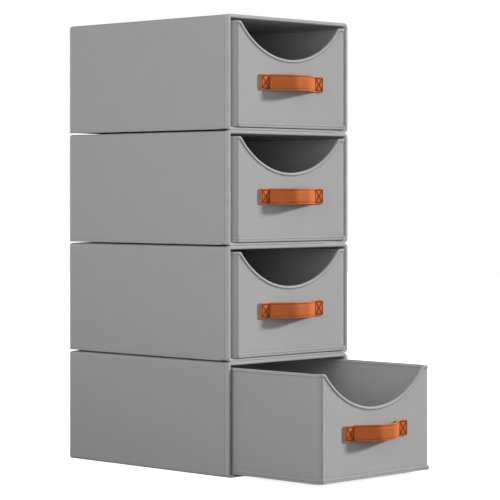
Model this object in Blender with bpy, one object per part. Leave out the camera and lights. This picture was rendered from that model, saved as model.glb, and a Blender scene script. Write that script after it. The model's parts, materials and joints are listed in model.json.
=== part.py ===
"""Stackable storage drawers: board-stiffened cloth sleeves, each holding a drawer with a scooped front."""

import math

import bmesh
import bpy
from mathutils import Matrix, Vector

# Stack, in metres like every size below
UNITS = 4
OPEN_UNIT = 1  # counted from the floor
OPEN_BY = 0.191

# Sleeve
CASE_WIDTH = 0.300
CASE_DEPTH = 0.400
CASE_HEIGHT = 0.194
CASE_CORNER = 0.006
CASE_BOARD = 0.003
BACK_PANEL = 0.004
BINDING_REACH = 0.0115

# Cloth, and the gap left between pieces that touch
CLOTH = 0.0007
FIT = 0.0003

# Drawer
SIDE_GAP = 0.0075
TOP_GAP = 0.0045
FRONT_PROUD = 0.003
DRAWER_CORNER = 0.0065
DRAWER_BOARD = 0.0024
BASE_BOARD = 0.003
HEM_HEIGHT = 0.0073
HEM_PROUD = 0.0015

# Drawer rim
RIM_TAPE = 0.001
RIM_REACH = 0.007
RIM_FLAT = 0.0045  # level rim left between a corner and the scoop
SCOOP_DEPTH = 0.0601
HORN_ROUND = 0.004

# Strap handle
HANDLE_LENGTH = 0.160
HANDLE_WIDTH = 0.027
HANDLE_THICK = 0.003
HANDLE_TAB = 0.022
HANDLE_GRIP = 0.036  # between the corners that the bow rounds off
HANDLE_RISE = 0.0255
HANDLE_HEIGHT = 0.0824  # its middle, above the unit's underside
HANDLE_END_ROUND = 0.003
ROOT_BEND = 0.008
GRIP_BEND = 0.050

# Facets of a quarter turn, of a folded tape's nose, of the scoop and of a strap bend
CORNER_STEPS = 4
NOSE_STEPS = 4
SCOOP_STEPS = 22
HORN_STEPS = 4
BEND_STEPS = 5

case_wall = CASE_BOARD + 2 * (CLOTH + FIT)
case_front = -CASE_DEPTH / 2
case_back = CASE_DEPTH / 2
case_nose = case_wall / 2
cover_front = case_front + BINDING_REACH + FIT
inner_corner = max(CASE_CORNER - case_wall, FIT)

drawer_wall = DRAWER_BOARD + 2 * (CLOTH + FIT)
rim_nose = drawer_wall / 2 + FIT + RIM_TAPE
stand_off = max(HEM_PROUD, RIM_TAPE + FIT)
drawer_half = CASE_WIDTH / 2 - case_wall - SIDE_GAP
drawer_front = case_front - FRONT_PROUD
drawer_depth = case_back - BACK_PANEL - FIT - stand_off - drawer_front
drawer_bottom = case_wall + FIT
rim_top = CASE_HEIGHT - case_wall - TOP_GAP - drawer_bottom
rim_line = rim_top - rim_nose


def arc(centre, radius, start, end, steps):
    """Points of an arc in a plane, both ends included; angles in radians."""
    turns = [start + (end - start) * i / steps for i in range(steps + 1)]
    return [(centre[0] + radius * math.cos(a), centre[1] + radius * math.sin(a)) for a in turns]


def rounded_box(low, high, radius):
    """Outline of a rectangle with round corners, anticlockwise from its lower right corner."""
    left, right = low[0] + radius, high[0] - radius
    bottom, top = low[1] + radius, high[1] - radius
    outline = []
    for i, centre in enumerate([(right, bottom), (right, top), (left, top), (left, bottom)]):
        outline += arc(centre, radius, (i - 1) * math.pi / 2, i * math.pi / 2, CORNER_STEPS)
    return outline


def filleted(points, radii):
    """A polyline whose inner corners are rounded by arcs of the given radii."""
    path = [Vector(points[0])]
    for before, corner, after, radius in zip(points, points[1:], points[2:], radii):
        corner = Vector(corner)
        back = (Vector(before) - corner).normalized()
        on = (Vector(after) - corner).normalized()
        half = back.angle(on) / 2
        centre = corner + (back + on).normalized() * radius / math.sin(half)
        start = corner + back * radius / math.tan(half) - centre
        sweep = start.angle_signed(corner + on * radius / math.tan(half) - centre)
        for i in range(BEND_STEPS + 1):
            path.append(centre + Matrix.Rotation(-sweep * i / BEND_STEPS, 2) @ start)
    return path + [Vector(points[-1])]


def offset_line(path, distance):
    """An open plane path moved sideways, to the left of its direction for a positive distance."""
    moved = []
    for i, point in enumerate(path):
        along = (path[min(i + 1, len(path) - 1)] - path[max(i - 1, 0)]).normalized()
        moved.append(point + Vector((-along.y, along.x)) * distance)
    return moved


def rim_profile():
    """The drawer front's rim line in X and Z, left to right: horn, round, scoop, round, horn."""
    flat_end = drawer_half - DRAWER_CORNER - RIM_FLAT
    reach = (flat_end**2 + SCOOP_DEPTH**2) / (2 * SCOOP_DEPTH)
    scoop_radius = reach - HORN_ROUND
    scoop_centre = (0, rim_line - SCOOP_DEPTH + scoop_radius)
    horn_centre = (flat_end, rim_line - HORN_ROUND)
    lean = math.atan2(flat_end, scoop_centre[1] - horn_centre[1])
    down = -math.pi / 2
    half = arc(horn_centre, HORN_ROUND, math.pi / 2, math.pi / 2 + lean, HORN_STEPS)
    half += arc(scoop_centre, scoop_radius, down + lean, down, SCOOP_STEPS // 2)[1:]
    return [(-x, z) for x, z in half] + [(x, z) for x, z in reversed(half[:-1])]


def mesh_of(helper):
    """The helper's evaluated shape as a closed mesh; the helper itself is removed."""
    bpy.context.view_layer.update()
    shape = helper.evaluated_get(bpy.context.evaluated_depsgraph_get())
    mesh = bpy.data.meshes.new_from_object(shape)
    work = bmesh.new()
    work.from_mesh(mesh)
    bmesh.ops.remove_doubles(work, verts=work.verts, dist=1e-6)
    bmesh.ops.recalc_face_normals(work, faces=work.faces)
    work.to_mesh(mesh)
    work.free()
    bpy.data.objects.remove(helper)
    return mesh


def spline_curve(name, lines, dimensions):
    """A curve object of closed straight-sided splines."""
    curve = bpy.data.curves.new(name, "CURVE")
    curve.dimensions = dimensions
    for line in lines:
        spline = curve.splines.new("POLY")
        spline.points.add(len(line) - 1)
        for point, place in zip(spline.points, line):
            point.co = (*place, 1) if len(place) == 3 else (*place, 0, 1)
        spline.use_cyclic_u = True
    helper = bpy.data.objects.new(name, curve)
    cutters.objects.link(helper)
    return helper


def plate(outlines, low, high, edge_round=0):
    """A flat outline, with any holes, extruded along Z between two levels."""
    helper = spline_curve("plate", outlines, "2D")
    curve = helper.data
    curve.fill_mode = "BOTH"
    curve.extrude = (high - low) / 2 - edge_round
    curve.bevel_depth = edge_round
    curve.offset = -edge_round
    curve.bevel_resolution = 1
    mesh = mesh_of(helper)
    mesh.transform(Matrix.Translation((0, 0, (low + high) / 2)))
    return mesh


def upright(mesh):
    """Stands a plate drawn in X and Y upright in X and Z, its levels running back along Y."""
    mesh.transform(Matrix(((1, 0, 0, 0), (0, 0, 1, 0), (0, 1, 0, 0), (0, 0, 0, 1))))
    mesh.flip_normals()
    return mesh


def slab(low, high):
    """A plain board between two corners."""
    work = bmesh.new()
    low, high = Vector(low), Vector(high)
    bmesh.ops.create_cube(work, size=1)
    bmesh.ops.scale(work, vec=high - low, verts=work.verts)
    bmesh.ops.translate(work, vec=(low + high) / 2, verts=work.verts)
    mesh = bpy.data.meshes.new("board")
    work.to_mesh(mesh)
    work.free()
    return mesh


def combined(base, steps):
    """The base mesh after a row of Boolean steps, each an operation and the other mesh."""
    helper = bpy.data.objects.new("combined", base)
    cutters.objects.link(helper)
    others = []
    for operation, mesh in steps:
        other = bpy.data.objects.new("cutter", mesh)
        other.hide_render = True
        other.display_type = "WIRE"
        cutters.objects.link(other)
        others.append(other)
        boolean = helper.modifiers.new(operation.title(), "BOOLEAN")
        boolean.operation = operation
        boolean.object = other
    mesh = mesh_of(helper)
    for other in others:
        bpy.data.objects.remove(other)
    return mesh


def folded_tape(path, half_width, tape, leg):
    """Tape folded over an edge: a round-nosed channel swept along a closed path, its legs hanging."""
    outer = arc((0, 0), half_width, 0, math.pi, NOSE_STEPS)
    inner = arc((0, 0), half_width - tape, math.pi, 0, NOSE_STEPS - 2)
    section = [(half_width, -leg)] + outer + [(-half_width, -leg)]
    section += [(tape - half_width, -leg)] + inner + [(half_width - tape, -leg)]
    profile = spline_curve("tape_section", [section], "2D")
    helper = spline_curve("tape_path", [path], "3D")
    helper.data.twist_mode = "Z_UP"
    helper.data.bevel_mode = "OBJECT"
    helper.data.bevel_object = profile
    mesh = mesh_of(helper)
    bpy.data.objects.remove(profile)
    return mesh


def case_cover():
    """Inverted U of two cloth skins, closed at the rear and along its feet, open to the front."""
    wall = cover_section(0)
    pocket = cover_section(CLOTH)
    shell = upright(plate([wall], cover_front, case_back))
    hollow = upright(plate([pocket], cover_front - CLOTH, case_back - CLOTH))
    return combined(shell, [("DIFFERENCE", hollow)])


def cover_section(inset):
    """Section of the sleeve's top and sides in X and Z, drawn in from the wall's faces by the inset."""
    foot = case_wall + FIT + inset
    centre = (CASE_WIDTH / 2 - CASE_CORNER, CASE_HEIGHT - CASE_CORNER)
    outer = arc(centre, CASE_CORNER - inset, 0, math.pi / 2, CORNER_STEPS)
    lining = CASE_WIDTH / 2 - case_wall + inset
    inner_centre = (CASE_WIDTH / 2 - case_wall - inner_corner, CASE_HEIGHT - case_wall - inner_corner)
    inner = arc(inner_centre, inner_corner + inset, math.pi / 2, 0, CORNER_STEPS)
    right = [(CASE_WIDTH / 2 - inset, foot)] + outer
    back_down = inner + [(lining, foot)]
    left, up = [(-x, z) for x, z in reversed(right)], [(-x, z) for x, z in reversed(back_down)]
    return right + left + up + back_down


def case_base_panel():
    """Floor panel with the sleeve's round lower edges and a bare tongue that the front tape closes over."""
    low, high = (-CASE_WIDTH / 2, 0), (CASE_WIDTH / 2, CASE_HEIGHT)
    foot = [point for point in rounded_box(low, high, CASE_CORNER) if point[1] < case_wall]
    edge = CASE_WIDTH / 2 - CASE_CORNER + math.sqrt(CASE_CORNER**2 - max(CASE_CORNER - case_wall, 0) ** 2)
    right = [point for point in foot if point[0] > 0] + [(edge, case_wall)]
    panel = upright(plate([right + [(-x, z) for x, z in reversed(right)]], cover_front, case_back))
    half = CASE_WIDTH / 2 - CASE_CORNER
    tongue = slab(
        (-half, case_front + case_nose, (case_wall - CASE_BOARD) / 2),
        (half, cover_front + BINDING_REACH, (case_wall + CASE_BOARD) / 2),
    )
    return combined(panel, [("UNION", tongue)])


def case_front_binding():
    """Tape ring folded over the sleeve's four front edges."""
    low = (-CASE_WIDTH / 2 + case_nose, case_nose)
    high = (CASE_WIDTH / 2 - case_nose, CASE_HEIGHT - case_nose)
    ring = rounded_box(low, high, max(CASE_CORNER - case_nose, case_nose))
    mesh = folded_tape([(x, z, 0) for x, z in ring], case_nose, CLOTH, BINDING_REACH - case_nose)
    mesh.transform(Matrix.Rotation(math.pi / 2, 4, "X"))
    mesh.transform(Matrix.Translation((0, case_front + case_nose, 0)))
    return mesh


def case_boards():
    """Stiffeners for the sleeve's top and right wall, and the panel across its back."""
    outside = CLOTH + FIT
    front, back = case_front + case_nose, case_back - outside
    top_half = CASE_WIDTH / 2 - CASE_CORNER - FIT
    top = slab(
        (-top_half, front, CASE_HEIGHT - outside - CASE_BOARD), (top_half, back, CASE_HEIGHT - outside)
    )
    side_foot = max(case_wall + FIT + CLOTH, CASE_CORNER) + FIT
    side = slab(
        (-CASE_BOARD / 2, front, side_foot), (CASE_BOARD / 2, back, CASE_HEIGHT - CASE_CORNER - FIT)
    )
    half = CASE_WIDTH / 2 - case_wall - FIT
    low, high = (-half, case_wall + FIT), (half, CASE_HEIGHT - case_wall - FIT)
    panel = upright(plate([rounded_box(low, high, inner_corner)], case_back - BACK_PANEL, case_back))
    return top, side, panel


def drawer_outline(inset):
    """Plan of the drawer's wall, drawn in from its outer face by the inset; Y runs back from the front."""
    low, high = (inset - drawer_half, inset), (drawer_half - inset, drawer_depth - inset)
    return rounded_box(low, high, max(DRAWER_CORNER - inset, FIT))


def scooped(mesh):
    """Cuts the scoop out of what stands in the drawer's front wall."""
    rim = [Vector(point) for point in rim_profile()]
    start = rim[0] + (rim[0] - rim[1]).normalized() * FIT
    end = rim[-1] + (rim[-1] - rim[-2]).normalized() * FIT
    above = [(end.x, 2 * rim_top), (start.x, 2 * rim_top)]
    outline = [tuple(point) for point in [start, *rim[1:-1], end]] + above
    scoop = upright(plate([outline], -drawer_wall, 2 * drawer_wall))
    return combined(mesh, [("DIFFERENCE", scoop)])


def drawer_cover():
    """Cloth tray: bottom sheet with a hem, and two skins that make a pocket for the wall boards."""
    block = plate([drawer_outline(0)], HEM_HEIGHT / 2, rim_line)
    hem = plate([drawer_outline(-HEM_PROUD)], 0, HEM_HEIGHT, HEM_PROUD)
    pocket = plate([drawer_outline(CLOTH), drawer_outline(drawer_wall - CLOTH)], CLOTH, 2 * rim_top)
    inside = plate([drawer_outline(drawer_wall)], CLOTH, 2 * rim_top)
    tray = combined(block, [("UNION", hem), ("DIFFERENCE", pocket), ("DIFFERENCE", inside)])
    return scooped(tray)


def drawer_boards():
    """Stiffeners: scooped front, plain back, one side, and the board that lies in the bottom."""
    foot = CLOTH + FIT
    half = drawer_half - DRAWER_CORNER - FIT
    front = scooped(slab((-half, foot, foot), (half, foot + DRAWER_BOARD, rim_line)))
    back_face = drawer_depth - foot
    back = slab((-half, back_face - DRAWER_BOARD, foot), (half, back_face, rim_line))
    run = DRAWER_CORNER + FIT
    side = slab((-DRAWER_BOARD / 2, run, foot), (DRAWER_BOARD / 2, drawer_depth - run, rim_line))
    base = plate([drawer_outline(drawer_wall + FIT)], foot, foot + BASE_BOARD)
    return front, back, side, base


def drawer_rim_binding():
    """Tape folded over the whole rim; across the front it dips along the scoop."""
    middle = drawer_wall / 2
    across_front = [(x, middle, z) for x, z in rim_profile()]
    round_back = [(x, y, rim_line) for x, y in drawer_outline(middle)]
    return folded_tape(across_front + round_back, rim_nose, RIM_TAPE, RIM_REACH - rim_nose)


def drawer_handle():
    """Leather strap: flat tabs on the front face and a grip that stands off it."""
    mid = -FIT - HANDLE_THICK / 2
    tab_end = HANDLE_LENGTH / 2 - HANDLE_TAB
    grip_end = HANDLE_GRIP / 2
    half = [(HANDLE_LENGTH / 2, mid), (tab_end, mid), (grip_end, mid - HANDLE_RISE)]
    corners = half + [(-x, y) for x, y in reversed(half)]
    line = filleted(corners, [ROOT_BEND, GRIP_BEND, GRIP_BEND, ROOT_BEND])
    outline = offset_line(line, HANDLE_THICK / 2) + offset_line(line, -HANDLE_THICK / 2)[::-1]
    strap = plate([[tuple(point) for point in outline]], -HANDLE_WIDTH / 2, HANDLE_WIDTH / 2)
    end = (HANDLE_LENGTH / 2, HANDLE_WIDTH / 2)
    face = rounded_box((-end[0], -end[1]), end, HANDLE_END_ROUND)
    shape = upright(plate([face], -HANDLE_LENGTH, HANDLE_LENGTH))
    return combined(strap, [("INTERSECT", shape)])


def finish(name, colour, roughness):
    """A plain Principled material."""
    material = bpy.data.materials.new(name)
    material.use_nodes = True
    shader = material.node_tree.nodes["Principled BSDF"]
    shader.inputs["Base Color"].default_value = (*colour, 1)
    shader.inputs["Roughness"].default_value = roughness
    shader.inputs["Metallic"].default_value = 0
    return material


def empty(name, place, parent=None):
    holder = bpy.data.objects.new(name, None)
    holder.empty_display_size = CASE_WIDTH / 4
    holder.location = place
    holder.parent = parent
    parts.objects.link(holder)
    return holder


def piece(name, mesh, material, parent, place=(0, 0, 0)):
    obj = bpy.data.objects.new(name, mesh)
    obj.location = place
    obj.parent = parent
    if not mesh.materials:
        mesh.materials.append(material)
    parts.objects.link(obj)
    return obj


def new_collection(name):
    collection = bpy.data.collections.new(name)
    bpy.context.scene.collection.children.link(collection)
    return collection


for old in list(bpy.data.objects):
    bpy.data.objects.remove(old)

parts = new_collection("stackable_storage_drawers")
cutters = new_collection("cutters")

case_cloth = finish("grey case cloth", (0.33, 0.33, 0.33), 0.9)
drawer_cloth = finish("grey drawer cloth", (0.36, 0.36, 0.36), 0.9)
tape_cloth = finish("grey binding tape", (0.40, 0.40, 0.40), 0.85)
board = finish("fibre board", (0.42, 0.30, 0.19), 0.8)
leather = finish("tan leather", (0.42, 0.13, 0.05), 0.5)

# One mesh for each kind of piece, shared by every unit
top_board, side_board, back_panel = case_boards()
front_board, back_board, drawer_side, base_board = drawer_boards()
cover_mesh, floor_mesh, binding_mesh = case_cover(), case_base_panel(), case_front_binding()
tray_mesh, rim_mesh, strap_mesh = drawer_cover(), drawer_rim_binding(), drawer_handle()

case_side = CASE_WIDTH / 2 - case_wall / 2
drawer_wall_middle = drawer_half - drawer_wall / 2
strap_height = HANDLE_HEIGHT - drawer_bottom

for unit in range(1, UNITS + 1):
    case = empty(f"unit_{unit}_case", (0, 0, (unit - 1) * (CASE_HEIGHT + FIT)))
    label = f"unit_{unit}_case_"
    piece(label + "cover", cover_mesh, case_cloth, case)
    piece(label + "base_panel", floor_mesh, case_cloth, case)
    piece(label + "back_panel", back_panel, case_cloth, case)
    piece(label + "front_binding", binding_mesh, tape_cloth, case)
    piece(label + "top_board", top_board, board, case)
    piece(label + "left_board", side_board, board, case, (-case_side, 0, 0))
    piece(label + "right_board", side_board, board, case, (case_side, 0, 0))

    opened = OPEN_BY if unit == OPEN_UNIT else 0
    drawer = empty(f"unit_{unit}_drawer", (0, drawer_front - opened, drawer_bottom), case)
    label = f"unit_{unit}_drawer_"
    piece(label + "cover", tray_mesh, drawer_cloth, drawer)
    piece(label + "rim_binding", rim_mesh, tape_cloth, drawer)
    piece(label + "front_board", front_board, board, drawer)
    piece(label + "back_board", back_board, board, drawer)
    piece(label + "left_board", drawer_side, board, drawer, (-drawer_wall_middle, 0, 0))
    piece(label + "right_board", drawer_side, board, drawer, (drawer_wall_middle, 0, 0))
    piece(label + "base_board", base_board, board, drawer)
    piece(label + "handle", strap_mesh, leather, drawer, (0, 0, strap_height))
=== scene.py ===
import json
import math

import bmesh
import bpy
from mathutils import Matrix, Vector, noise

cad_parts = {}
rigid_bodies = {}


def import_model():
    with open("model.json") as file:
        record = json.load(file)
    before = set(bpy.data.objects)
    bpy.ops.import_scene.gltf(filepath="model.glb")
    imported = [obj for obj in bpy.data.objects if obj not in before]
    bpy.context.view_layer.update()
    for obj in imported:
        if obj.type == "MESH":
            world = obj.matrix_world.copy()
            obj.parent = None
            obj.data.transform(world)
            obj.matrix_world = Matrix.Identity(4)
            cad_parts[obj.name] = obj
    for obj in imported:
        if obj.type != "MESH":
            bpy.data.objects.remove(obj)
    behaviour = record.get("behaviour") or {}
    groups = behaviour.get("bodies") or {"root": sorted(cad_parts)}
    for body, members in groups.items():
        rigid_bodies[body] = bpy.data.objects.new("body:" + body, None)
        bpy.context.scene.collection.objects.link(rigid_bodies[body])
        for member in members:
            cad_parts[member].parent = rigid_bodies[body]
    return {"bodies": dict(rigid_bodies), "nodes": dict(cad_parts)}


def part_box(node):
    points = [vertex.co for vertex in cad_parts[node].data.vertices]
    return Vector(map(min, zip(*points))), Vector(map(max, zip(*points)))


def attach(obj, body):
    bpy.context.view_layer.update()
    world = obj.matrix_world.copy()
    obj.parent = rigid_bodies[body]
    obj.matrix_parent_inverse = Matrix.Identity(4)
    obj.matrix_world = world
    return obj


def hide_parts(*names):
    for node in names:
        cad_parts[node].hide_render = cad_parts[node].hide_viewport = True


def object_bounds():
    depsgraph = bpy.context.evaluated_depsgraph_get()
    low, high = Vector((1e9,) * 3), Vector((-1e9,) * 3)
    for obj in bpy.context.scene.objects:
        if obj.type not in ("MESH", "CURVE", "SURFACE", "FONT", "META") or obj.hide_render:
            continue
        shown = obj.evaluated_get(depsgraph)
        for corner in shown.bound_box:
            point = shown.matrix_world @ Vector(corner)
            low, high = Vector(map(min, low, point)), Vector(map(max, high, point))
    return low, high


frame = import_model()
cadLow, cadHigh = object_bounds()
mm = 0.001
unitCount = sum(1 for name in frame["bodies"] if name.endswith("_case"))
print("frame loaded:", len(frame["nodes"]), "nodes in", unitCount, "units")


def addObject(name, data):
    made = bpy.data.objects.new(name, data)
    bpy.context.scene.collection.objects.link(made)
    return made


# Camera: level, with the frame shifted down to the stack, as in the photograph
camera = dict(
    place=(-2.7333, -2.7513, 0.4768),
    azimuth=-45.928,  # degrees from looking straight along +Y
    focal=2172.03,  # pixels of the 500 pixel frame
    horizon=192.943,  # pixel row of eye level
    imageSide=500, sensor=36,
)


def makeCamera():
    data = bpy.data.cameras.new("camera")
    data.sensor_width = camera["sensor"]
    data.lens = camera["focal"] / camera["imageSide"] * camera["sensor"]
    data.shift_y = (camera["horizon"] - camera["imageSide"] / 2) / camera["imageSide"]
    made = addObject("camera", data)
    made.location = camera["place"]
    made.rotation_euler = (math.pi / 2, 0, math.radians(camera["azimuth"]))
    bpy.context.scene.camera = made


makeCamera()
print("camera placed")


# Shader helpers: a socket gets linked, any other value is set on the node itself
def addNode(tree, kind, inputs=None, **settings):
    made = tree.nodes.new("ShaderNode" + kind)
    for name, value in settings.items():
        setattr(made, name, value)
    for socket, value in (inputs or {}).items():
        if isinstance(value, bpy.types.NodeSocket):
            tree.links.new(value, made.inputs[socket])
        else:
            made.inputs[socket].default_value = value
    return made


def emptyTree(owner):
    owner.use_nodes = True
    owner.node_tree.nodes.clear()
    return owner.node_tree


def startMaterial(name, finish):
    material = bpy.data.materials.new(name)
    tree = emptyTree(material)
    shader = addNode(tree, "BsdfPrincipled", finish)
    addNode(tree, "OutputMaterial", {"Surface": shader.outputs["BSDF"]})
    place = addNode(tree, "TexCoord").outputs["Object"]
    return material, tree, shader, place


# Layers of noise, each given as cycles to the metre along X, Y and Z, and a level of detail
def noiseLayers(tree, place, grain):
    layers = {}
    for layer, (scale, detail) in grain.items():
        mapped = addNode(tree, "Mapping", {"Vector": place, "Scale": scale})
        inputs = {"Vector": mapped.outputs["Vector"], "Scale": 1.0, "Detail": detail}
        layers[layer] = addNode(tree, "TexNoise", inputs).outputs["Fac"]
    return layers


def weightedSum(tree, layers, shares):
    total = 0.0
    for layer, share in shares.items():
        inputs = {0: layers[layer], 1: share, 2: total}
        total = addNode(tree, "Math", inputs, operation="MULTIPLY_ADD").outputs["Value"]
    return total


# Ramp between darker and lighter shades of one colour
def shadeRamp(tree, factor, colour, shades):
    ramp = addNode(tree, "ValToRGB", {"Fac": factor})
    elements = ramp.color_ramp.elements
    while len(elements) < len(shades):
        elements.new(0.5)
    for element, (position, amount) in zip(elements, shades):
        element.position = position
        element.color = [part * amount for part in colour] + [1]
    return ramp.outputs["Color"]


# Links what every material varies: its tint, its roughness and its relief
def dressShader(tree, shader, look, tint, wear, height):
    low, high = look["rough"]
    rough = addNode(tree, "MapRange", {"Value": wear, "To Min": low, "To Max": high})
    relief = {"Strength": look["bump"], "Distance": look["relief"], "Height": height}
    bump = addNode(tree, "Bump", relief)
    tree.links.new(shadeRamp(tree, tint, look["colour"], look["shades"]), shader.inputs["Base Color"])
    tree.links.new(rough.outputs["Result"], shader.inputs["Roughness"])
    tree.links.new(bump.outputs["Normal"], shader.inputs["Normal"])


# Woven cloth, used for the covers and, in a closer weave, for the tapes
waveTurn = math.pi / 10  # a wave texture's period at scale 1
clothGrain = dict(
    fuzz=((1300, 1300, 1300), 3), slubAcross=((45, 45, 700), 2), slubUp=((700, 700, 45), 2),
    mottle=((28, 28, 28), 3),
)
clothTint = dict(mottle=0.3, slubAcross=0.25, slubUp=0.25, weave=0.1, fuzz=0.1)
clothRelief = dict(weave=0.6, fuzz=0.25, slubAcross=0.1, slubUp=0.1)
coverCloth = dict(
    colour=(0.335, 0.335, 0.335), shades=((0.3, 0.965), (0.5, 1), (0.7, 1.035)), pitch=0.9 * mm,
    unevenYarn=1.2, rough=(0.86, 0.97), bump=0.22, relief=0.5 * mm,
    finish={"Sheen Weight": 0.12, "Sheen Roughness": 0.45, "Specular IOR Level": 0.25},
)
tapeCloth = dict(
    coverCloth,
    colour=(0.365, 0.365, 0.365), shades=((0.3, 0.97), (0.5, 1), (0.7, 1.03)), pitch=0.6 * mm,
    unevenYarn=0.5, rough=(0.78, 0.92), bump=0.2,
    finish={"Sheen Weight": 0.18, "Sheen Roughness": 0.45, "Specular IOR Level": 0.25},
)


def wovenCloth(name, look):
    material, tree, shader, place = startMaterial(name, look["finish"])
    layers = noiseLayers(tree, place, clothGrain)
    # one band wave along each axis, so any flat panel shows two sets of yarn crossing
    yarn = {"Vector": place, "Scale": waveTurn / look["pitch"], "Distortion": look["unevenYarn"]}
    yarn.update({"Detail": 1.0, "Detail Scale": 0.7})
    yarns = {}
    for axis in "XYZ":
        yarns[axis] = addNode(tree, "TexWave", yarn, bands_direction=axis).outputs["Fac"]
    layers["weave"] = weightedSum(tree, yarns, dict.fromkeys(yarns, 1 / len(yarns)))
    tint, height = weightedSum(tree, layers, clothTint), weightedSum(tree, layers, clothRelief)
    dressShader(tree, shader, look, tint, layers["fuzz"], height)
    return material


# Leather strap: dyed face with pores, and a paler cut edge
leatherGrain = dict(fine=((2600, 2600, 2600), 2), clouds=((70, 70, 110), 3))
leatherTint = dict(clouds=0.6, fine=0.15, pores=0.25)
leatherRelief = dict(pores=0.7, fine=0.3)
strapFace = dict(
    colour=(0.475, 0.122, 0.037), shades=((0.3, 0.9), (0.48, 1), (0.7, 1.1)), pore=0.75 * mm,
    rough=(0.46, 0.6), bump=0.25, relief=0.3 * mm, finish={"Specular IOR Level": 0.02},
)
strapEdge = dict(
    strapFace,
    colour=(0.55, 0.17, 0.055), shades=((0.3, 0.86), (0.48, 1), (0.7, 1.14)), pore=0.5 * mm,
    rough=(0.5, 0.7), bump=0.3,
)


def dyedLeather(name, look):
    material, tree, shader, place = startMaterial(name, look["finish"])
    layers = noiseLayers(tree, place, leatherGrain)
    cells = addNode(tree, "TexVoronoi", {"Vector": place, "Scale": 1 / look["pore"]})
    layers["pores"] = cells.outputs["Distance"]
    tint, height = weightedSum(tree, layers, leatherTint), weightedSum(tree, layers, leatherRelief)
    dressShader(tree, shader, look, tint, layers["clouds"], height)
    return material


# Sewing thread, plied; the straps' brown thread is waxed and dull
greyThread = dict(
    colour=(0.055, 0.055, 0.055), shades=((0, 0.75), (1, 1.2)), twist=0.55 * mm, unevenTwist=0.8,
    rough=(0.6, 0.8), bump=0.4, relief=0.1 * mm,
    finish={"Sheen Weight": 0.1, "Specular IOR Level": 0.35},
)
brownThread = dict(greyThread, colour=(0.105, 0.018, 0.005), finish={"Specular IOR Level": 0.03})


def pliedThread(name, look):
    material, tree, shader, place = startMaterial(name, look["finish"])
    inputs = {"Vector": place, "Scale": waveTurn / look["twist"], "Distortion": look["unevenTwist"]}
    plies = addNode(tree, "TexWave", inputs, bands_direction="DIAGONAL").outputs["Fac"]
    dressShader(tree, shader, look, plies, plies, plies)
    return material


# Pressed board inside the walls
boardGrain = dict(fibres=((350, 90, 350), 4), chips=((120, 420, 120), 3))
boardTint = dict(fibres=0.5, chips=0.5)
pressedBoard = dict(
    colour=(0.33, 0.235, 0.15), shades=((0.3, 0.78), (0.7, 1.22)), rough=(0.75, 0.92), bump=0.35,
    relief=0.3 * mm, finish={"Specular IOR Level": 0.3},
)


def fibreBoard(name, look):
    material, tree, shader, place = startMaterial(name, look["finish"])
    layers = noiseLayers(tree, place, boardGrain)
    tint = weightedSum(tree, layers, boardTint)
    dressShader(tree, shader, look, tint, layers["chips"], tint)
    return material


coverGrey = wovenCloth("grey cover cloth", coverCloth)
tapeGrey = wovenCloth("grey binding tape", tapeCloth)
leatherFace = dyedLeather("tan leather face", strapFace)
leatherEdge = dyedLeather("tan leather cut edge", strapEdge)
threadGrey = pliedThread("grey sewing thread", greyThread)
threadBrown = pliedThread("brown sewing thread", brownThread)
boardBrown = fibreBoard("pressed fibre board", pressedBoard)
print("materials made:", len(bpy.data.materials))


# Mesh helpers
def smooth(share):
    share = min(1.0, max(0.0, share))
    return share * share * (3 - 2 * share)


# Soft hollow or bump, 1 in its middle and next to nothing two widths away
def bell(share):
    return math.exp(-(share**2))


def heading(turn):
    return Vector((math.cos(turn), math.sin(turn)))


def evenly(start, end, steps):
    return [start + (end - start) * step / steps for step in range(steps + 1)]


seedStride = (7.3, 3.1, 5.7)  # each seed takes its waves from another place in the noise


def clothWave(place, seed, look):
    start = Vector([seed * stride for stride in seedStride])
    return look["wave"] * noise.noise(place / look["waveLength"] + start)


# A half turn squared off, as cloth lies over the end of a board; 1 is round
def boxyTurn(turn, outerEdge, innerEdge):
    across, out = math.cos(turn), math.sin(turn)
    squareness = outerEdge if across > 0 else innerEdge
    return math.copysign(abs(across) ** squareness, across), max(0.0, out) ** squareness


# Outline of a round-cornered rectangle: pairs of point and outward direction, anticlockwise
def roundOutline(low, high, radius, runs, arcSteps):
    centres = [(high[0] - radius, low[1] + radius), (high[0] - radius, high[1] - radius)]
    centres += [(low[0] + radius, high[1] - radius), (low[0] + radius, low[1] + radius)]
    outline = []
    for corner in range(4):
        centre, following = Vector(centres[corner]), Vector(centres[(corner + 1) % 4])
        for turn in evenly((corner - 1) * math.pi / 2, corner * math.pi / 2, arcSteps):
            outward = heading(turn)
            outline.append((centre + outward * radius, outward))
        steps = runs[(corner + 1) % 2]  # the run after a lower right corner climbs
        for share in evenly(0, 1, steps)[1:-1]:
            outline.append((centre.lerp(following, share) + outward * radius, outward))
    return outline


# Skin between rings of points; a ring is a closed section, and the rings run on round or stop at two caps
def loft(rings, around=True):
    size, count = len(rings[0]), len(rings)
    points = [tuple(point) for ring in rings for point in ring]
    faces = []
    for one in range(count if around else count - 1):
        two = (one + 1) % count
        for here in range(size):
            after = (here + 1) % size
            faces.append((one * size + here, one * size + after, two * size + after, two * size + here))
    if not around:
        faces.append(tuple(range(size)))
        faces.append(tuple(range((count - 1) * size, count * size)))
    return points, faces


sharpAngle = math.radians(40)  # steeper edges stay sharp


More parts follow.
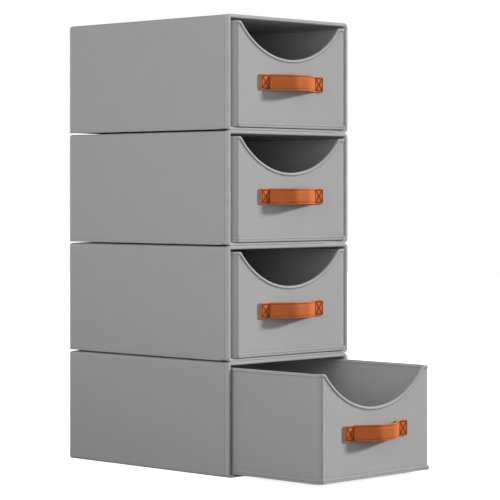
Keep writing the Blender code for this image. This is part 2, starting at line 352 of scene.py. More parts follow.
# One object from lists of points and faces; a part may also give each face's material slot
def makePiece(name, parts, materials):
    points, faces, slots = [], [], []
    for part in parts:
        start = len(points)
        points += part[0]
        faces += [tuple(start + index for index in face) for face in part[1]]
        slots += part[2] if len(part) > 2 else [0] * len(part[1])
    mesh = bpy.data.meshes.new(name)
    mesh.from_pydata(points, [], faces)
    for material in materials:
        mesh.materials.append(material)
    mesh.polygons.foreach_set("material_index", slots)
    work = bmesh.new()
    work.from_mesh(mesh)
    bmesh.ops.recalc_face_normals(work, faces=work.faces)
    work.to_mesh(mesh)
    work.free()
    mesh.shade_smooth()
    mesh.set_sharp_from_angle(angle=sharpAngle)
    return addObject(name, mesh)


# Fixes a piece to its body, where it may stand for one of the body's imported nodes
def settle(piece, body, node=None):
    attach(piece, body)
    if node:
        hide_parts(f"{body}_{node}")


# Stitches: short lengths of thread that rise out of the cloth, arch and go down again
stitchArch = [(0.12, -0.1), (0.5, 0.55), (0.88, -0.1)]  # share of the stitch, and height in thread radii
seam = dict(pitch=5.2 * mm, length=3.9 * mm, thread=0.36 * mm, sides=5)
rimSeam = dict(pitch=4.6 * mm, length=3.9 * mm, thread=0.75 * mm, sides=6)
strapSeam = dict(pitch=4.0 * mm, length=3.2 * mm, thread=0.38 * mm, sides=5)
tabSeam = dict(pitch=3.6 * mm, length=3.4 * mm, thread=0.62 * mm, sides=5)


def addStitch(sewn, start, end, up, look):
    points, faces = sewn
    along = (end - start).normalized()
    up = (up - along * up.dot(along)).normalized()
    side = along.cross(up)
    first, sides = len(points), look["sides"]
    points.append(tuple(start - up * look["thread"]))
    for share, lift in stitchArch:
        middle = start.lerp(end, share) + up * look["thread"] * lift
        for step in range(sides):
            turn = 2 * math.pi * step / sides
            spoke = side * math.cos(turn) + up * math.sin(turn)
            points.append(tuple(middle + spoke * look["thread"]))
    last = len(points)
    points.append(tuple(end - up * look["thread"]))
    for step in range(sides):
        after = (step + 1) % sides
        faces.append((first, first + 1 + after, first + 1 + step))
        for level in range(len(stitchArch) - 1):
            low = first + 1 + level * sides
            faces.append((low + step, low + after, low + sides + after, low + sides + step))
        top = last - sides
        faces.append((top + step, top + after, last))


# Sews along a line of places and outward directions, a whole number of stitches to the line
def sewAlong(sewn, line, look, closed=False):
    line = line + line[:1] if closed else line
    reach = [0.0]
    for one, two in zip(line, line[1:]):
        reach.append(reach[-1] + (two[0] - one[0]).length)
    count = max(1, round(reach[-1] / look["pitch"]))
    pitch = reach[-1] / count
    spare = (pitch - look["length"]) / 2
    leastStep = 1e-9  # two places of a line may fall together

    def at(distance):
        index = 0
        while index < len(reach) - 2 and reach[index + 1] < distance:
            index += 1
        share = (distance - reach[index]) / max(reach[index + 1] - reach[index], leastStep)
        (one, upOne), (two, upTwo) = line[index], line[index + 1]
        return one.lerp(two, share), upOne.lerp(upTwo, share)

    for stitch in range(count):
        start, up = at(stitch * pitch + spare)
        end, _ = at((stitch + 1) * pitch - spare)
        addStitch(sewn, start, end, up, look)


# Panel wrapped in cloth: rings climb from its underside, round the edge and over its pillowed face
wrapping = dict(leastCorner=0.3 * mm, cornerSteps=4)
bevel = 0.3  # the middle of a rounded edge lies this share of its reach inside the square corner


def wrappedPanel(low, high, near, far, look, place):
    edge = look["edge"]
    nick = bevel * edge
    steps = [(edge, near), (nick, near + nick), (0, near + edge)]
    steps += [(0, far - edge), (nick, far - nick), (edge, far)]
    steps += [(within * mm, far + share * look["crown"]) for within, share in look["pillow"]]
    rings = []
    for inset, height in steps:
        lowIn, highIn = (low[0] + inset, low[1] + inset), (high[0] - inset, high[1] - inset)
        radius = max(look["corner"] - inset, wrapping["leastCorner"])
        outline = roundOutline(lowIn, highIn, radius, look["runs"], wrapping["cornerSteps"])
        rings.append([place(point, height) for point, _ in outline])
    return loft(rings, around=False)


# Sleeve: outer skin folded in at the rear, lining, floor panel, top board, back panel and front tape
sleeve = dict(
    corner=6 * mm, skin=0.6 * mm,
    sideInset=0.3 * mm,  # the skin lies this far under the tape
    tapeCorners=(5.2 * mm, 8.5 * mm),  # left and right
    lowerCorner=1.3 * mm,  # behind the tape the corners are creased tighter, the lower ones most
    floorCorner=4 * mm, tighten=14 * mm,
    lift=1.2 * mm,  # the underside rises from its middle to its edges, leaving a slit between units
    rearLift=2.0 * mm, rearRun=70 * mm,
    floorLift=0.1 * mm,  # the lowest unit lies flat on the floor
    liftCurve=1.1,
    droop=1.4 * mm,  # a top that bears another unit gives way along its edges
    droopCurve=4, rearProud=1.9 * mm, foldSquareness=0.7, seamDip=0.5 * mm, seamWidth=1.6 * mm,
    tuck=10 * mm, fit=0.3 * mm, wave=0.22 * mm, waveLength=75 * mm, looseRun=25 * mm,
    level=0.7,  # faces that point up or down by more than this only sink, as they meet another unit
    runs=(36, 24), arcSteps=7,
    seamRows=(0, 0.5, 1.1, 2, 3.5, 6, 10, 16),  # millimetres behind the tape
    plainFrom=24 * mm, plainRows=28, foldSteps=11, innerSteps=7, pocketRows=4,
)


def sleeveSizes(unit):
    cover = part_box(f"unit_{unit}_case_cover")
    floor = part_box(f"unit_{unit}_case_base_panel")
    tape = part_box(f"unit_{unit}_case_front_binding")
    half, bottom, top = cover[1].x, floor[0].z, cover[1].z
    lowest, topmost = unit == 1, unit == unitCount
    return dict(
        half=half,
        bottom=bottom,
        top=top,
        low=(-half, bottom),
        high=(half, top),
        wall=floor[1].z - bottom,
        front=tape[0].y,
        seam=tape[1].y,
        inFront=tape[1].y + sleeve["fit"],  # where skin, lining and floor start, behind the tape
        rear=cover[1].y + sleeve["rearProud"],
        lift=sleeve["floorLift"] if lowest else sleeve["lift"],
        rearLift=sleeve["floorLift"] if lowest else sleeve["rearLift"],
        lowerCorner=sleeve["floorCorner"] if lowest else sleeve["lowerCorner"],
        droop=0 if topmost else sleeve["droop"],
    )


# How far the skin lies inside the sleeve's box
def sleeveInset(size, point, outward, lift):
    under, over = max(0.0, -outward.y) ** 2, max(0.0, outward.y) ** 2
    aside = abs(point.x) / size["half"]
    rise, sink = lift * aside ** sleeve["liftCurve"], size["droop"] * aside ** sleeve["droopCurve"]
    return sleeve["sideInset"] * (1 - under) + rise * under + sink * over


# Section of the outer skin as (distance back, depth below the sleeve's box, looseness), a closed loop:
# along the outside, round the rear fold, a tuck inside, and home along the boards
def skinSection(size, inset, rearInset):
    skin, front = sleeve["skin"], size["inFront"]
    fold = (size["wall"] - rearInset) / 2
    turn = size["rear"] - fold
    rows = [front + step * mm for step in sleeve["seamRows"]]
    rows += evenly(front + sleeve["plainFrom"], turn, sleeve["plainRows"])
    section = []
    for y in rows:
        dip = sleeve["seamDip"] * bell((y - front) / sleeve["seamWidth"])
        depth = inset + (rearInset - inset) * smooth((y - turn) / sleeve["rearRun"] + 1)
        loose = smooth((y - front) / sleeve["looseRun"]) * smooth((turn - y) / sleeve["looseRun"])
        section.append((y, depth + dip, loose))
    square = sleeve["foldSquareness"]
    for turned in evenly(0, math.pi, sleeve["foldSteps"])[1:]:
        down, back = boxyTurn(turned, square, square)
        section.append((turn + fold * back, rearInset + fold * (1 - down), 0))
    section.append((turn - sleeve["tuck"], size["wall"], 0))
    section.append((turn - sleeve["tuck"], size["wall"] - skin, 0))
    inner = fold - skin
    for turned in evenly(math.pi, 0, sleeve["innerSteps"]):
        section.append((turn + inner * math.sin(turned), rearInset + fold - inner * math.cos(turned), 0))
    for y in evenly(turn, front, sleeve["pocketRows"])[1:]:
        section.append((y, inset + skin, 0))
    section[-1] = (front, inset + skin + sleeve["seamDip"], 0)
    return section


# Outline of the sleeve's front, where the right corners are rounder than the left
def tapeOutline(low, high, runs, arcSteps):
    left, right = [roundOutline(low, high, corner, runs, arcSteps) for corner in sleeve["tapeCorners"]]
    outline = []
    for (tight, outward), (slack, _) in zip(left, right):
        outline.append((tight.lerp(slack, (tight.x - low[0]) / (high[0] - low[0])), outward))
    return outline


def sleeveSkin(unit, size):
    low, high = size["low"], size["high"]
    runs, arcSteps = sleeve["runs"], sleeve["arcSteps"]
    front = tapeOutline(low, high, runs, arcSteps)
    corners = [sleeve["corner"], size["lowerCorner"]]
    behind = [roundOutline(low, high, corner, runs, arcSteps) for corner in corners]
    rings = []
    for (point, outward), (upper, _), (lower, _) in zip(front, *behind):
        stacked = abs(outward.y) > sleeve["level"]
        creased = lower.lerp(upper, (point.y - low[1]) / (high[1] - low[1]))
        inset = sleeveInset(size, point, outward, size["lift"])
        rearInset = sleeveInset(size, point, outward, size["rearLift"])
        within = size["wall"] - inset - sleeve["skin"]
        ring = []
        for y, depth, loose in skinSection(size, inset, rearInset):
            sway = loose * clothWave(Vector((point.x, y, point.y)), unit, sleeve)
            tight = smooth((y - size["seam"]) / sleeve["tighten"])
            tight *= 1 - smooth((depth - inset - sleeve["skin"]) / within)
            place = point.lerp(creased, tight) - outward * (depth + (abs(sway) / 2 if stacked else sway))
            ring.append((place.x, y, place.y))
        rings.append(ring)
    return loft(rings)


# Lining of the walls and ceiling, standing on the floor panel
lining = dict(wallRows=14, cornerSteps=4, topRows=10, depthRows=14)


def sleeveLining(size):
    skin, wall = sleeve["skin"], size["wall"]
    half, foot, top = size["half"] - wall, size["bottom"] + wall + sleeve["fit"], size["top"] - wall
    corner = sleeve["corner"] - wall
    turns = [heading(turn) for turn in evenly(0, math.pi / 2, lining["cornerSteps"])]
    centre = Vector((half - corner, top - corner))
    path = [(Vector((half, z)), turns[0]) for z in evenly(foot, top - corner, lining["wallRows"])[:-1]]
    path += [(centre + turn * corner, turn) for turn in turns]
    path += [(Vector((x, top)), turns[-1]) for x in evenly(half - corner, 0, lining["topRows"])[1:]]
    for point, out in reversed(path[:-1]):
        path.append((Vector((-point.x, point.y)), Vector((-out.x, out.y))))
    front, rear = size["inFront"], size["rear"] - wall / 2 - sleeve["tuck"] - sleeve["fit"]
    back = evenly(front, rear, lining["depthRows"])
    rows = [(y, 0) for y in back] + [(y, skin) for y in reversed(back)]
    rings = []
    for point, outward in path:
        rings.append([((point + outward * out).x, y, (point + outward * out).y) for y, out in rows])
    return loft(rings, around=False)


# Floor panel: level on top, hollowed underneath to follow the skin
floorPanel = dict(edge=0.8 * mm, gap=0.1 * mm, columns=30)


def sleeveFloor(size):
    half, edge = size["half"] - size["wall"], floorPanel["edge"]
    nick = bevel * edge
    front, top = size["inFront"], size["bottom"] + size["wall"]
    rear = size["rear"] - size["wall"] / 2 - sleeve["tuck"] - 2 * sleeve["fit"]
    rings = []
    for x in evenly(-half, half, floorPanel["columns"]):
        rise = sleeveInset(size, Vector((x, 0)), Vector((0, -1)), size["rearLift"])
        low = size["bottom"] + rise + sleeve["skin"] + floorPanel["gap"]
        ring = [(front, low), (rear, low), (rear, top - edge), (rear - nick, top - nick)]
        ring += [(rear - edge, top), (front + edge, top), (front + nick, top - nick), (front, top - edge)]
        rings.append([(x, y, z) for y, z in ring])
    return loft(rings, around=False)


# Board in the top, thinner at its sides where the top gives way
ceilingBoard = dict(edge=0.4 * mm, columns=30)


def topBoard(unit, size):
    low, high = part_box(f"unit_{unit}_case_top_board")
    edge = ceilingBoard["edge"]
    rings = []
    for x in evenly(low.x, high.x, ceilingBoard["columns"]):
        top = high.z - size["droop"] * (abs(x) / size["half"]) ** sleeve["droopCurve"]
        ring = [(low.y, low.z), (high.y, low.z), (high.y, top - edge), (high.y - edge, top)]
        ring += [(low.y + edge, top), (low.y, top - edge)]
        rings.append([(x, y, z) for y, z in ring])
    return loft(rings, around=False)


# Front tape: section as (distance back, depth), round the nose and both legs
frontTape = dict(
    tape=0.7 * mm, edgeRoll=0.35 * mm, rollWidth=0.8 * mm, stitchBack=2.3 * mm, stitchDip=0.22 * mm,
    dipWidth=0.8 * mm,
    stitchHold=0.85,  # share of the skin's inset that the seam outside follows
    squareness=(0.22, 0.8),  # of the nose's outer and inner edges
    swell=dict(top=1.4 * mm, left=0.6 * mm, right=2.3 * mm),  # bulk of the folded nose, inwards
    forward=0.8 * mm,  # and towards the front
    runs=(32, 16), cornerSteps=8, noseSteps=20,
    legRows=(0, 0.3, 0.8, 1.5, 2.3, 3.1, 4.2, 6.0, 7.5, 9.0),  # millimetres in front of the tape's edge
)


def frontTapeSection(size, inset, swell):
    wall, tape = size["wall"], frontTape["tape"]
    radius = (wall + swell) / 2
    nose = size["front"] + radius - frontTape["forward"]
    leg = size["seam"] - nose
    outer = []
    for row in frontTape["legRows"]:
        distance = row * mm
        roll = frontTape["edgeRoll"] * (1 - smooth(distance / frontTape["rollWidth"]))
        dip = frontTape["stitchDip"] * bell((distance - frontTape["stitchBack"]) / frontTape["dipWidth"])
        outer.append((size["seam"] - distance, roll + dip, 1 - smooth(distance / leg)))
    section = [(y, inset * hold + drop) for y, drop, hold in outer]
    turns = evenly(0, math.pi, frontTape["noseSteps"])
    turns = [boxyTurn(turn, *frontTape["squareness"]) for turn in turns]
    section += [(nose - radius * out, radius * (1 - across)) for across, out in turns[1:-1]]
    section += [(y, wall + swell * (1 - hold) - drop) for y, drop, hold in reversed(outer)]
    section.append((size["seam"], wall - tape))
    inner = radius - tape
    section += [(nose - inner * out, radius - inner * across) for across, out in reversed(turns)]
    section.append((size["seam"], inset + tape))
    return section


def sleeveTape(size, sewn):
    low, high = size["low"], size["high"]
    stitchY, dip = size["seam"] - frontTape["stitchBack"], frontTape["stitchDip"]
    swells = frontTape["swell"]
    rings, outside, inside = [], [], []
    for point, outward in tapeOutline(low, high, frontTape["runs"], frontTape["cornerSteps"]):
        inset = sleeveInset(size, point, outward, size["lift"])
        aside = swells["left"] if outward.x < 0 else swells["right"]
        swell = swells["top"] * max(0, outward.y) ** 2 + aside * outward.x**2
        ring = []
        for y, depth in frontTapeSection(size, inset, swell):
            place = point - outward * depth
            ring.append((place.x, y, place.y))
        rings.append(ring)
        out = Vector((outward.x, 0, outward.y))
        base = Vector((point.x, stitchY, point.y))
        outside.append((base - out * (inset * frontTape["stitchHold"] + dip), out))
        inside.append((base - out * (size["wall"] - dip), -out))
    sewAlong(sewn, outside, seam, closed=True)
    sewAlong(sewn, inside, seam, closed=True)
    return loft(rings)


# Back panel, wrapped in cloth and sewn round its edge
backPanel = dict(
    corner=1.5 * mm, edge=1.4 * mm,
    clear=0.7 * mm,  # room for the drawer's stitches
    crown=0.5 * mm,
    pillow=((4, 0.1), (6, -0.3), (8, 0.1), (16, 0.4), (40, 0.8), (75, 1)),  # millimetres in, share of crown
    sewIn=6 * mm, sewDip=0.15 * mm, sewCorner=1 * mm, sewSteps=3, sewRuns=(16, 12), runs=(40, 26),
)


def sleeveBack(unit, sewn):
    low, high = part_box(f"unit_{unit}_case_back_panel")
    inset, sewRuns, sewSteps = backPanel["sewIn"], backPanel["sewRuns"], backPanel["sewSteps"]
    sewnLow, sewnHigh = (low.x + inset, low.z + inset), (high.x - inset, high.z - inset)
    border = roundOutline(sewnLow, sewnHigh, backPanel["sewCorner"], sewRuns, sewSteps)
    sewY, out = high.y - backPanel["sewDip"], Vector((0, 1, 0))
    sewAlong(sewn, [(Vector((point.x, sewY, point.y)), out) for point, _ in border], seam, closed=True)

    def place(point, height):
        return (point.x, low.y + height, point.y)

    corners = ((low.x, low.z), (high.x, high.z))
    return wrappedPanel(*corners, backPanel["clear"], high.y - low.y, backPanel, place)


def buildSleeve(unit):
    size, sewn = sleeveSizes(unit), ([], [])

    def add(kind, parts, material, slot, node=None):
        settle(makePiece(f"unit_{unit}_sleeve_{kind}", parts, [material]), f"unit_{unit}_case", node)

    add("skin", [sleeveSkin(unit, size), sleeveLining(size)], coverGrey, "grey_cloth", "cover")
    add("floor", [sleeveFloor(size)], coverGrey, "grey_cloth", "base_panel")
    add("top_board", [topBoard(unit, size)], boardBrown, "fibre_board", "top_board")
    add("back", [sleeveBack(unit, sewn)], coverGrey, "grey_cloth", "back_panel")
    add("front_tape", [sleeveTape(size, sewn)], tapeGrey, "binding_tape", "front_binding")
    add("stitching", [sewn], threadGrey, "binding_tape")


# Drawer: double-walled cloth tray with a scooped front, hem, corner seams and a tape over its rim
tray = dict(
    corner=3.5 * mm, wall=4.8 * mm, skin=0.6 * mm, hemProud=1.5 * mm,
    hemFlat=0.7 * mm,  # proud by this much away from the bulky corners
    hemHeight=7.3 * mm, hemRound=0.7 * mm, hemSteps=3, hemStitch=4.6 * mm,
    hemKnot=1.6 * mm,  # bulk where the hem's ends are folded together at the right front corner
    knotWidth=8 * mm,
    hemTuck=(0.15 * mm, 0.1 * mm),  # the wall comes out of the hem this far in, and up
    wallFoot=0.6 * mm,  # above the hem
    pocketFoot=1.2 * mm,
    pocketMouth=25 * mm,  # below the rim
    liningFoot=1.6 * mm, liningRows=12,
    underIn=12 * mm,  # the bottom sheet's underside starts this far in
    sheetSteps=((0.8 * mm, 0.7 * mm), (14 * mm, 0.6 * mm)),  # its upper side, in from the lining and up
    seamAcross=129.4 * mm,  # the front's folded edges stand this far from the middle
    seamStep=0.4 * mm,  # and the corner pieces lie this much behind them
    seamWidth=0.3 * mm,
    seamDip=(0.8 * mm, 0.15 * mm),  # the left seam is drawn in deeper than the right
    seamColumns=(-6, -3, -1.5, -0.8, 0, 0.5, 1, 3, 9),  # in widths of the seam
    softTurn=math.radians(70),  # the front left corner slumps round by this much before its seam
    ease=1 * mm,  # the cloth stands this far off the CAD's sides
    bulge=0.6 * mm,
    frontFullness=0.25,  # the front is drawn flatter than the other walls
    slackRun=40 * mm,  # the walls are drawn tight this near to their corners
    wave=0.16 * mm, waveLength=60 * mm, waveSeed=9,
    facing=0.5,  # outward direction from which a column counts as facing that way
    frontFacing=-0.9, backHalf=126 * mm, wallRows=22, sideColumns=30, backColumns=18, cornerSteps=8,
)
rim = dict(
    reach=7 * mm, leg=3.8 * mm,
    settled=0.9 * mm,  # the cloth's fold and scoop lie this much below the CAD's
    flat=8.5 * mm, hornRound=4 * mm,
    seamDown=2.2 * mm,  # sewn groove below the rim line
    skirt=3.05 * mm,
    lining=0.55 * mm,  # thickness of the leg inside
    ridge=0.8 * mm, groove=0.6 * mm,
    slack=0.9 * mm,  # the inside falls away by this where the tape is drawn tight
    leastTight=0.3,
    tightRate=1.5,  # it is drawn tighter the more a wall faces forward, from a start to in full
    tightStart=0.4,
    gap=0.05 * mm, roll=0.1 * mm, scoopSteps=72, hornSteps=8,
)


def traySizes(unit):
    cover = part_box(f"unit_{unit}_drawer_cover")
    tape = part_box(f"unit_{unit}_drawer_rim_binding")
    return dict(
        half=cover[1].x - tray["hemProud"] + tray["ease"],
        front=cover[0].y + tray["hemProud"],
        depth=cover[1].y - cover[0].y - 2 * tray["hemProud"],
        bottom=cover[0].z,
        rimLine=cover[1].z,
        nose=tape[1].z - cover[1].z - rim["settled"],
        scoopLow=tape[0].z + rim["reach"] - (tape[1].z - cover[1].z) - rim["settled"],
    )


# Rim across the front in X and Z, left to right: level horn, round, scoop, round, level horn
def rimProfile(size):
    bend = rim["hornRound"]
    flatEnd = size["half"] - tray["corner"] - rim["flat"]
    dip = size["rimLine"] - size["scoopLow"]
    radius = (flatEnd**2 + dip**2) / (2 * dip) - bend
    centreZ = size["scoopLow"] + radius
    hornZ = size["rimLine"] - bend
    lean = math.atan2(flatEnd, centreZ - hornZ)
    half = []
    for turn in evenly(0, lean, rim["hornSteps"]):
        half.append((flatEnd - bend * math.sin(turn), hornZ + bend * math.cos(turn)))
    for turn in evenly(lean, 0, rim["scoopSteps"] // 2)[1:]:
        half.append((radius * math.sin(turn), centreZ - radius * math.cos(turn)))
    return [(-x, z) for x, z in half] + [(x, z) for x, z in reversed(half[:-1])]


# How far the front and back faces lie behind their folded edges, which end at the seams
def setBack(across):
    beyond = (abs(across) - tray["seamAcross"]) / tray["seamWidth"]
    dip = tray["seamDip"][0 if across < 0 else 1] * bell(beyond)
    return tray["seamStep"] * smooth(beyond / 2 + 0.5) + dip


# Columns round the drawer's walls: plan point, outward direction and rim height
def trayColumns(size):
    corner, depth, level, half = tray["corner"], size["depth"], size["rimLine"], size["half"]
    right = [tray["seamAcross"] + away * tray["seamWidth"] for away in tray["seamColumns"]]
    softStart = tray["seamAcross"] + tray["seamWidth"]
    left = [-x for x in reversed(right) if x < softStart]
    front = [(x, level) for x in left] + rimProfile(size) + [(x, level) for x in right]
    columns = [(Vector((x, setBack(x))), Vector((0, -1)), z) for x, z in front]

    soft = (half - softStart) / (1 - math.cos(tray["softTurn"]))
    softBack = soft * math.sin(tray["softTurn"]) + tray["seamStep"]
    backward = evenly(corner, depth - corner, tray["sideColumns"])[1:-1]
    forward = evenly(depth - corner, softBack, tray["sideColumns"])[1:-1]
    behind = evenly(tray["backHalf"], -tray["backHalf"], tray["backColumns"])
    behind = right[::-1] + behind + [-x for x in right]
    square, side = math.pi / 2, half - corner
    plain = (corner, corner - tray["seamStep"])
    corners = [
        ((side, corner), plain, square, [(half, y) for y in backward]),
        ((side, depth - corner), plain, square, [(x, depth - setBack(x)) for x in behind]),
        ((-side, depth - corner), plain, square, [(-half, y) for y in forward]),
        ((soft - half, softBack), (soft, soft), tray["softTurn"], []),
    ]
    for index, (centre, reach, turned, run) in enumerate(corners):
        start = (index - 1) * square
        for turn in evenly(start, start + turned, tray["cornerSteps"]):
            outward = heading(turn)
            point = Vector(centre) + Vector((outward.x * reach[0], outward.y * reach[1]))
            columns.append((point, outward, level))
        columns += [(Vector(point), outward, level) for point in run]
    return columns


# Section of the tray's wall as (depth in from the face, height, looseness), from under the bottom sheet,
# round the hem, up outside, down and up the pocket, and down inside
def traySection(top, proud):
    wall, skin, hem, bend = tray["wall"], tray["skin"], tray["hemHeight"], tray["hemRound"]
    section = [(tray["underIn"], 0, 0), (0, 0, 0), (bend - proud, 0, 0)]
    turns = evenly(0, math.pi / 2, tray["hemSteps"])
    for turn in turns[1:]:
        section.append((bend * (1 - math.sin(turn)) - proud, bend * (1 - math.cos(turn)), 0))
    for turn in reversed(turns):
        section.append((bend * (1 - math.sin(turn)) - proud, hem - bend * (1 - math.cos(turn)), 0))
    section.append((tray["hemTuck"][0], hem + tray["hemTuck"][1], 0))
    wallFoot = hem + tray["wallFoot"]
    for share in evenly(0, 1, tray["wallRows"]):
        loose = smooth(4 * share) * smooth(4 * (1 - share))  # in full over the middle half
        section.append((0, wallFoot + (top - wallFoot) * share, loose))
    pocket = [top, top - tray["pocketMouth"], tray["pocketFoot"]]
    section += [(skin, z, 0) for z in pocket]
    section += [(wall - skin, z, 0) for z in reversed(pocket)]
    foot = tray["liningFoot"]
    section += [(wall, foot + (top - foot) * share, 0) for share in evenly(1, 0, tray["liningRows"])]
    section += [(wall + inside, z, 0) for inside, z in tray["sheetSteps"]]
    return section


# True for a face that would run from the end of an open section back to its start
def bridges(face, count):
    inRing = [index % count for index in face]
    return 0 in inRing and count - 1 in inRing


def trayBody(unit, size, columns, sewn):
    rings, hemLine = [], []
    hemCorner = Vector((size["half"], 0))
    for point, outward, rimZ in columns:
        fullness = tray["frontFullness"] if outward.y < tray["frontFacing"] else 1.0
        sideways = size["half"] - abs(point.x) if abs(outward.y) > tray["facing"] else 0
        endways = min(point.y, size["depth"] - point.y) if abs(outward.x) > tray["facing"] else 0
        away = smooth((max(sideways, endways) - tray["corner"]) / tray["slackRun"])
        proud = tray["hemProud"] + (tray["hemFlat"] - tray["hemProud"]) * away
        proud += tray["hemKnot"] * bell((point - hemCorner).length / tray["knotWidth"])
        ring = []
        for depth, z, loose in traySection(rimZ - size["bottom"], proud):
            here = Vector((point.x, size["front"] + point.y, size["bottom"] + z))
            wave = clothWave(here, unit + tray["waveSeed"], tray)
            swell = loose * away * fullness * (tray["bulge"] / 2 + wave)
            place = point - outward * (depth - swell)
            ring.append((place.x, size["front"] + place.y, here.z))
        rings.append(ring)
        face = point + outward * proud
        sewnAt = Vector((face.x, size["front"] + face.y, size["bottom"] + tray["hemStitch"]))
        hemLine.append((sewnAt, outward.to_3d()))
    sewAlong(sewn, hemLine, seam, closed=True)
    points, faces = loft(rings)
    count = len(rings[0])
    faces = [face for face in faces if not bridges(face, count)]
    for end in (0, count - 1):  # the bottom sheet's under and upper sides
        faces.append(tuple(index * count + end for index in range(len(rings))))
    return points, faces


# Rim tape section as (across, up) from the middle of the wall's top: a ridge outside over a sewn groove,
# a thin skirt below it, a rounded top and a flat leg inside
def rimSection(size, tight):
    leg, top, face = rim["leg"], size["nose"], tray["wall"] / 2
    down, skirt, gap, roll = -rim["seamDown"], rim["skirt"], rim["gap"], rim["roll"]
    ridge, groove = skirt + rim["ridge"] * tight, skirt - rim["groove"] * tight
    liner = face + rim["lining"]
    slack = rim["slack"] * max(0, tight - rim["leastTight"])
    outer = [(face + gap, -leg), (skirt - roll, 3 * roll - leg), (skirt, down - 0.75 * mm)]
    outer += [(groove + roll, down - 0.4 * mm), (groove, down), (groove + roll, down + 0.35 * mm)]
    outer += [(ridge - 3 * roll * tight, down + 0.5 * mm), (ridge, down + 0.95 * mm), (ridge, 0.25 * top)]
    outer += [(0.95 * ridge, 0.6 * top), (0.8 * ridge, 0.85 * top), (0.5 * ridge, 0.97 * top)]
    outer += [(0.1 * ridge, top), (-0.3 * liner, 0.97 * top - slack)]
    outer += [(-0.62 * liner, 0.82 * top - 2 * slack), (-0.86 * liner, 0.5 * top - 2.5 * slack)]
    outer += [(-liner, -2.5 * slack), (-liner, 7 * roll - leg)]
    outer += [(-face - 4 * gap, -leg), (-face - gap, roll - leg)]
    inner = [(-face - gap, -2.7 * slack), (-0.65 * face, 0.5 * top - 2.5 * slack)]
    inner += [(0, 0.7 * top - slack), (0.4 * face, 0.7 * top - 0.5 * slack), (0.95 * face, 0.4 * top)]
    inner += [(face + 0.6 * gap, 0), (face + 0.6 * gap, roll - leg)]
    return outer + inner


def rimTape(size, columns, sewn):
    half, down = tray["wall"] / 2, rim["seamDown"]
    path = []
    for point, outward, rimZ in columns:
        middle = point - outward * half
        place = Vector((middle.x, size["front"] + middle.y, rimZ))
        path.append((place, outward.to_3d()))
    rings, outside, inside = [], [], []
    for index, (place, outward) in enumerate(path):
        along = (path[(index + 1) % len(path)][0] - path[index - 1][0]).normalized()
        rise = along.cross(-outward).normalized()
        if rise.z < 0:
            rise = -rise
        drawn = smooth(-rim["tightRate"] * outward.y - rim["tightStart"])
        tight = rim["leastTight"] + (1 - rim["leastTight"]) * drawn
        section = rimSection(size, tight)
        rings.append([place + outward * across + rise * height for across, height in section])
        outside.append((place + outward * (rim["skirt"] - rim["groove"] * tight) - rise * down, outward))
        inside.append((place - outward * (half + rim["lining"] - rim["gap"]) - rise * down, -outward))
    facings = [outward.y > tray["frontFacing"] for _, outward in outside]
    frontEnd = facings.index(True)
    sewAlong(sewn, outside[:frontEnd], rimSeam)
    sewAlong(sewn, outside[frontEnd:], seam)
    sewAlong(sewn, inside, seam, closed=True)
    return loft(rings)


# Loose base board, wrapped in the cover's cloth
baseInsert = dict(
    corner=3.5 * mm, edge=1.1 * mm, crown=0.3 * mm,
    pillow=((12, 0.4), (45, 1)),  # millimetres in, share of crown
    runs=(16, 12),
)


def trayBase(unit):
    low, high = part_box(f"unit_{unit}_drawer_base_board")

    def place(point, height):
        return (point.x, point.y, low.z + height)

    return wrappedPanel((low.x, low.y), (high.x, high.y), 0, high.z - low.z, baseInsert, place)


# Strap handle: one leather strip, flat tabs sewn down and a bowed grip
strap = dict(
    thick=3 * mm,
    aside=1 * mm,  # sewn on a little right of the middle
    drawnIn=1 * mm,  # ends short of the CAD strap's by this much
    tab=22 * mm, grip=36 * mm, rootBend=8 * mm, gripBend=32 * mm, bendSteps=12, step=2.5 * mm,
    endRound=2 * mm, endSteps=5,
    endThin=0.35,  # share by which the cut ends are pressed thinner
    thinRun=0.8 * mm, edgeRound=0.9 * mm, crown=0.1 * mm, groove=0.3 * mm, grooveHalf=0.8 * mm,
    threadSunk=0.6,  # share of the groove's depth
    sewIn=3 * mm,
    boxes=(3.4 * mm, 20.6 * mm),  # sewn boxes on the tabs, in from the strap's ends
    boxProud=0.1 * mm,
)


def strapSizes(unit):
    low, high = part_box(f"unit_{unit}_drawer_handle")
    thick, width = strap["thick"] / 2, (high.z - low.z) / 2
    return dict(
        half=high.x - strap["drawnIn"],
        width=width,
        thick=thick,
        sewIn=width - strap["sewIn"],
        middleZ=(low.z + high.z) / 2,
        tabY=high.y - thick,
        gripY=low.y + thick,
    )


# A plan line whose corners are rounded by arcs
def bentLine(corners, bends, steps):
    line = [Vector(corners[0])]
    for before, corner, after, radius in zip(corners, corners[1:], corners[2:], bends):
        corner = Vector(corner)
        back = (Vector(before) - corner).normalized()
        on = (Vector(after) - corner).normalized()
        half = back.angle(on) / 2
        centre = corner + (back + on).normalized() * radius / math.sin(half)
        start = corner + back * radius / math.tan(half) - centre
        sweep = start.angle_signed(corner + on * radius / math.tan(half) - centre)
        line += [centre + Matrix.Rotation(-sweep * share, 2) @ start for share in evenly(0, 1, steps)]
    return line + [Vector(corners[-1])]


# Puts points between those of a line, none further apart than the step
def filledLine(line, step):
    filled = [line[0]]
    for one, two in zip(line, line[1:]):
        parts = max(1, math.ceil((two - one).length / step))
        filled += [one.lerp(two, share) for share in evenly(0, 1, parts)[1:]]
    return filled


